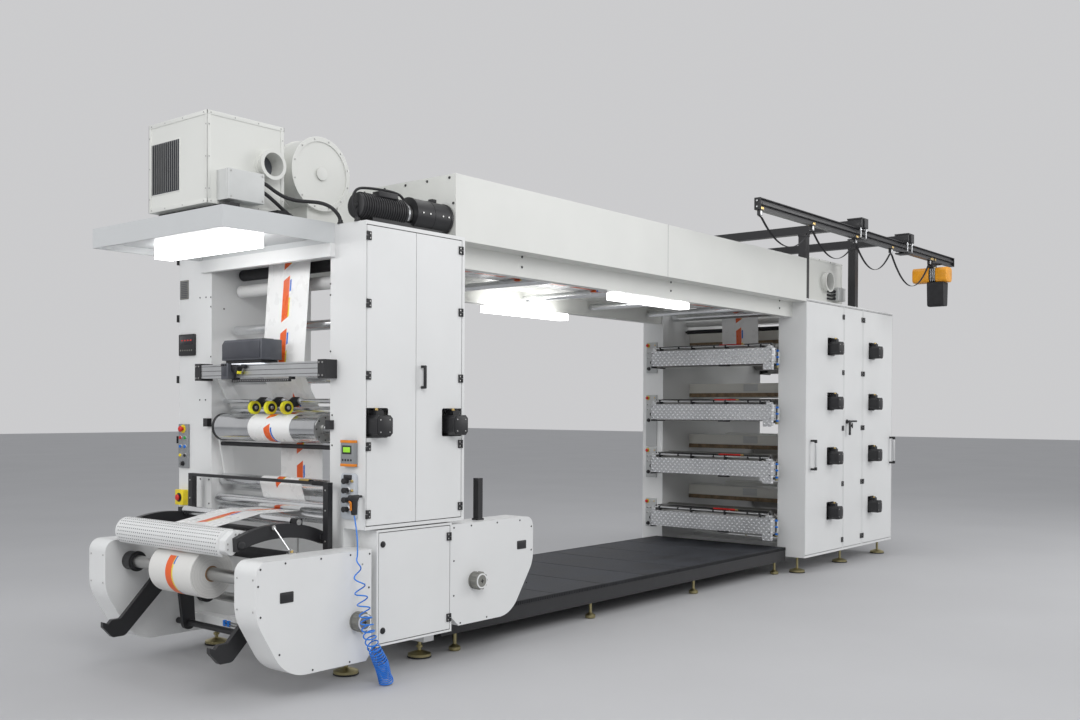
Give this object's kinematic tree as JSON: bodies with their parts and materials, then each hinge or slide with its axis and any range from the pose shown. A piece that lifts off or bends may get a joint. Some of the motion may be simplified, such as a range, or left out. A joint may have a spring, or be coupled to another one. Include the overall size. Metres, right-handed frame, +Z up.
{
  "type": "flexographic printing press",
  "caption": "Stack type flexographic printing press: winder tower, overhead drying bridge over a walkway, print stack with decks on both sides, side cabinets and hoist gantry",
  "frame": {"origin": "centre of the underside of the tower's front levelling foot on the side with the doors, on the floor", "axes": "+X runs from the winder tower along the walkway to the print stack, +Y from the door side to the far side, +Z up"},
  "size_m": [9.312, 2.535, 3.449],
  "materials": {
    "aluminium": "drawn aluminium",
    "black_paint": "satin black paint",
    "black_plastic": "black moulded plastic",
    "black_rubber": "black rubber",
    "chrome": "polished hard chrome",
    "film": "white printed film",
    "grey_plastic": "light grey plastic",
    "lamp_cover": "opal lamp cover",
    "silver_paint": "satin light grey paint",
    "steel": "ground steel",
    "tread_plate": "raised-pattern aluminium plate",
    "white_paint": "satin off-white machine paint",
    "yellow_rubber": "yellow rubber tread",
    "zinc": "yellow zinc plated steel"
  },
  "bodies": {
    "press_frame": {"air_hose": "black_rubber", "base_beams": "white_paint", "blower": "silver_paint", "bridge_beams": "white_paint", "bridge_housing": "silver_paint", "canopy": "silver_paint", "chain_bag": "black_rubber", "cheeks_far": "white_paint", "cheeks_near": "white_paint", "control_panels": "black_plastic", "deck_brackets": "black_paint", "deck_guards": "tread_plate", "drive_motors": "black_plastic", "dryer_hoods": "white_paint", "festoon_cables": "black_rubber", "gantry": "black_paint", "guard_gate": "black_paint", "guide_rollers": "chrome", "hoist": "black_plastic", "hoist_rail": "aluminium", "hood_box": "silver_paint", "hood_channels": "black_paint", "inspection_rail": "aluminium", "junction_boxes": "grey_plastic", "layon_arms": "black_paint", "levelling_feet": "zinc", "lower_cabinet_near": "white_paint", "luminaires": "lamp_cover", "metal_cylinders": "chrome", "plate_cylinders": "steel", "press_wheels": "yellow_rubber", "roll_guard": "white_paint", "roof_motor": "black_paint", "rubber_rollers": "black_rubber", "shaft_chucks": "black_paint", "stack_cabinet_far": "white_paint", "stack_cabinet_near": "white_paint", "stack_fan_box": "white_paint", "stack_frame": "white_paint", "tower_brackets": "black_paint", "tower_cabinet_far": "white_paint", "tower_cabinet_near": "white_paint", "tower_frame_far": "white_paint", "tower_frame_near": "white_paint", "tower_roof": "white_paint", "walkway_deck": "black_rubber", "walkway_frame": "black_paint", "web": "film"},
    "tower_left_leaf": {"tower_door_left": "white_paint"},
    "tower_right_leaf": {"tower_door_right": "white_paint", "tower_pull": "black_plastic"},
    "lower_leaf": {"lower_door": "white_paint"},
    "stack_left_leaf": {"stack_door_left": "white_paint"},
    "stack_centre_leaf": {"stack_door_centre": "white_paint"},
    "stack_right_leaf": {"stack_door_right": "white_paint"},
    "roll": {"winding_shaft": "steel", "paper_roll": "film"},
    "drum": {"draw_drum": "chrome"},
    "camera": {"inspection_camera": "grey_plastic"},
    "lifter": {"lift_arms": "black_paint"}
  },
  "joints": [
    {"name": "tower_left_door_hinge", "type": "hinge", "parent": "press_frame", "child": "tower_left_leaf", "pos_m": [-0.0885, -0.281, 1.79], "axis": [0, 0, -1], "range_deg": [0, 105]},
    {"name": "tower_right_door_hinge", "type": "hinge", "parent": "press_frame", "child": "tower_right_leaf", "pos_m": [0.7085, -0.281, 1.79], "axis": [0, 0, 1], "range_deg": [0, 105]},
    {"name": "lower_door_hinge", "type": "hinge", "parent": "press_frame", "child": "lower_leaf", "pos_m": [0.6095, -0.281, 0.545], "axis": [0, 0, 1], "range_deg": [0, 95]},
    {"name": "stack_left_door_hinge", "type": "hinge", "parent": "press_frame", "child": "stack_left_leaf", "pos_m": [6.4395, -0.281, 1.43], "axis": [0, 0, 1], "range_deg": [0, 100]},
    {"name": "stack_centre_door_hinge", "type": "hinge", "parent": "press_frame", "child": "stack_centre_leaf", "pos_m": [6.9145, -0.281, 1.43], "axis": [0, 0, -1], "range_deg": [-100, 0]},
    {"name": "stack_right_door_hinge", "type": "hinge", "parent": "press_frame", "child": "stack_right_leaf", "pos_m": [6.9395, -0.281, 1.43], "axis": [0, 0, -1], "range_deg": [0, 100]},
    {"name": "roll_spin", "type": "hinge", "parent": "press_frame", "child": "roll", "pos_m": [-0.685, 0.585, 0.645], "axis": [0, 1, 0], "continuous": true},
    {"name": "drum_spin", "type": "hinge", "parent": "press_frame", "child": "drum", "pos_m": [-0.055, 0.647, 1.475], "axis": [0, 1, 0], "continuous": true},
    {"name": "camera_slide", "type": "slide", "parent": "press_frame", "child": "camera", "axis": [0, 1, 0], "range_m": [-0.45, 0.28]},
    {"name": "lift_arm_pivot", "type": "hinge", "parent": "press_frame", "child": "lifter", "pos_m": [-0.345, 0.58, 0.22], "axis": [0, 1, 0], "range_deg": [-15, 36]}
  ]
}
